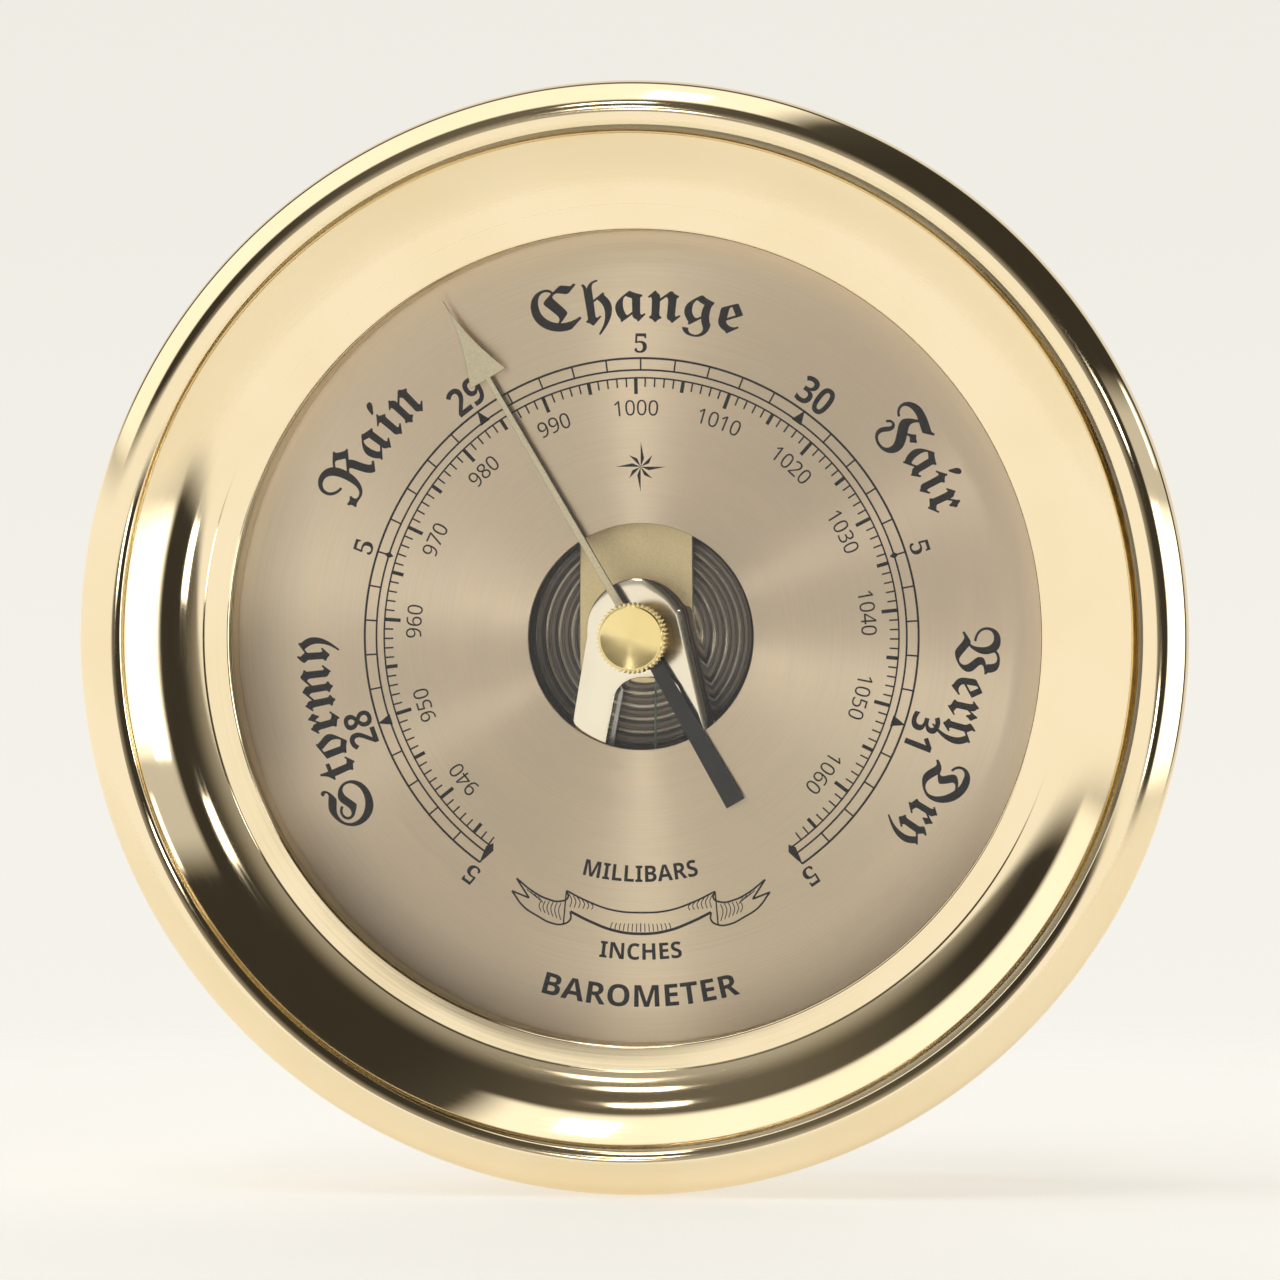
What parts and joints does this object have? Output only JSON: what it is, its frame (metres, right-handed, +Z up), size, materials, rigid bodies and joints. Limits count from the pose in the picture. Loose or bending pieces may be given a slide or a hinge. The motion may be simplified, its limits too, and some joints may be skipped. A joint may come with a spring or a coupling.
{
  "type": "aneroid barometer",
  "caption": "Round wall barometer: spun brass bezel, open brass dial over a corrugated capsule movement, black hand and a set hand on a knurled knob.",
  "frame": {"origin": "centre of the back cover's flat outer face, on the axis of the case", "axes": "+Z up, +X to the viewer's right, the dial faces -Y and the wall is at +Y"},
  "size_m": [0.14, 0.0429, 0.14],
  "materials": {
    "polished_brass": "polished and lacquered",
    "dial_brass": "circular brushed, lacquered, printed in dark brown",
    "matte_brass": "sandblasted matte",
    "plain_brass": "satin",
    "black_steel": "matte black",
    "steel": "satin",
    "nickel_silver": "bright nickel silver",
    "clear_glass": "clear, flat",
    "gasket": "matte",
    "thread": "waxed thread"
  },
  "bodies": {
    "case": {"bezel": "polished_brass", "reflector_ring": "polished_brass", "wishbone_bridge": "polished_brass", "dial": "dial_brass", "spring_block": "matte_brass", "spring_clamp": "matte_brass", "glass": "clear_glass", "glass_gasket": "gasket", "capsule_lower": "nickel_silver", "chain": "thread", "case_drum": "plain_brass", "back_cover": "plain_brass", "hanger_pocket": "plain_brass", "dial_pillar_1": "plain_brass", "dial_pillar_2": "plain_brass", "dial_pillar_3": "plain_brass", "base_plate": "plain_brass", "case_spacer_1": "plain_brass", "case_spacer_2": "plain_brass", "case_spacer_3": "plain_brass", "arbor_plate": "plain_brass", "plate_spacer_1": "plain_brass", "plate_spacer_2": "plain_brass", "hairspring_stud": "plain_brass", "pivot_cock_left": "plain_brass", "pivot_cock_right": "plain_brass", "cover_screw_1": "steel", "cover_screw_2": "steel", "cover_screw_3": "steel", "cover_screw_4": "steel", "bezel_screw_1": "steel", "bezel_screw_2": "steel", "bezel_screw_3": "steel", "case_screw_1": "steel", "case_screw_2": "steel", "case_screw_3": "steel", "bridge_screw_left": "steel", "bridge_screw_right": "steel", "clamp_screw_1": "steel", "clamp_screw_2": "steel", "capsule_stud": "steel", "capsule_nut": "steel"},
    "pointer": {"indicating_hand": "black_steel", "pointer_arbor": "steel", "hairspring": "steel"},
    "set_hand_assembly": {"set_hand": "polished_brass", "set_knob": "polished_brass", "set_spindle": "steel", "spindle_bush": "plain_brass", "knob_washer": "plain_brass"},
    "rocker": {"rocking_shaft": "steel"},
    "spring_lever": {"mainspring_band": "matte_brass", "lever_arm": "steel"},
    "capsule_top": {"capsule_upper": "nickel_silver", "capsule_boss": "steel"},
    "adjuster": {"adjusting_screw": "steel"}
  },
  "joints": [
    {"name": "pointer_turn", "type": "hinge", "parent": "case", "child": "pointer", "pos_m": [0, -0.0288, 0], "axis": [0, 1, 0], "range_deg": [-114.3, 174.5], "deforming": ["hairspring"]},
    {"name": "set_hand_turn", "type": "hinge", "parent": "case", "child": "set_hand_assembly", "pos_m": [0, -0.036, 0], "axis": [0, 1, 0], "continuous": true},
    {"name": "rocking_shaft_turn", "type": "hinge", "parent": "case", "child": "rocker", "pos_m": [0, -0.012, -0.024], "axis": [1, 0, 0], "range_deg": [-12.5, 18.7], "deforming": ["chain"]},
    {"name": "lever_tilt", "type": "hinge", "parent": "case", "child": "spring_lever", "pos_m": [0, -0.0188, 0.0245], "axis": [1, 0, 0], "range_deg": [-0.55, 0.82]},
    {"name": "capsule_squeeze", "type": "slide", "parent": "case", "child": "capsule_top", "axis": [0, 1, 0], "range_m": [-0.000223, 0.00034]},
    {"name": "adjuster_turn", "type": "hinge", "parent": "case", "child": "adjuster", "pos_m": [0, -0.0032, 0.0245], "axis": [0, 1, 0], "range_deg": [-360, 360]}
  ],
  "couplings": [
    {"joint": "pointer_turn", "follows": "capsule_squeeze", "rad_per_m": 8937},
    {"joint": "rocking_shaft_turn", "follows": "capsule_squeeze", "rad_per_m": 940.7},
    {"joint": "lever_tilt", "follows": "capsule_squeeze", "rad_per_m": 40.82}
  ]
}
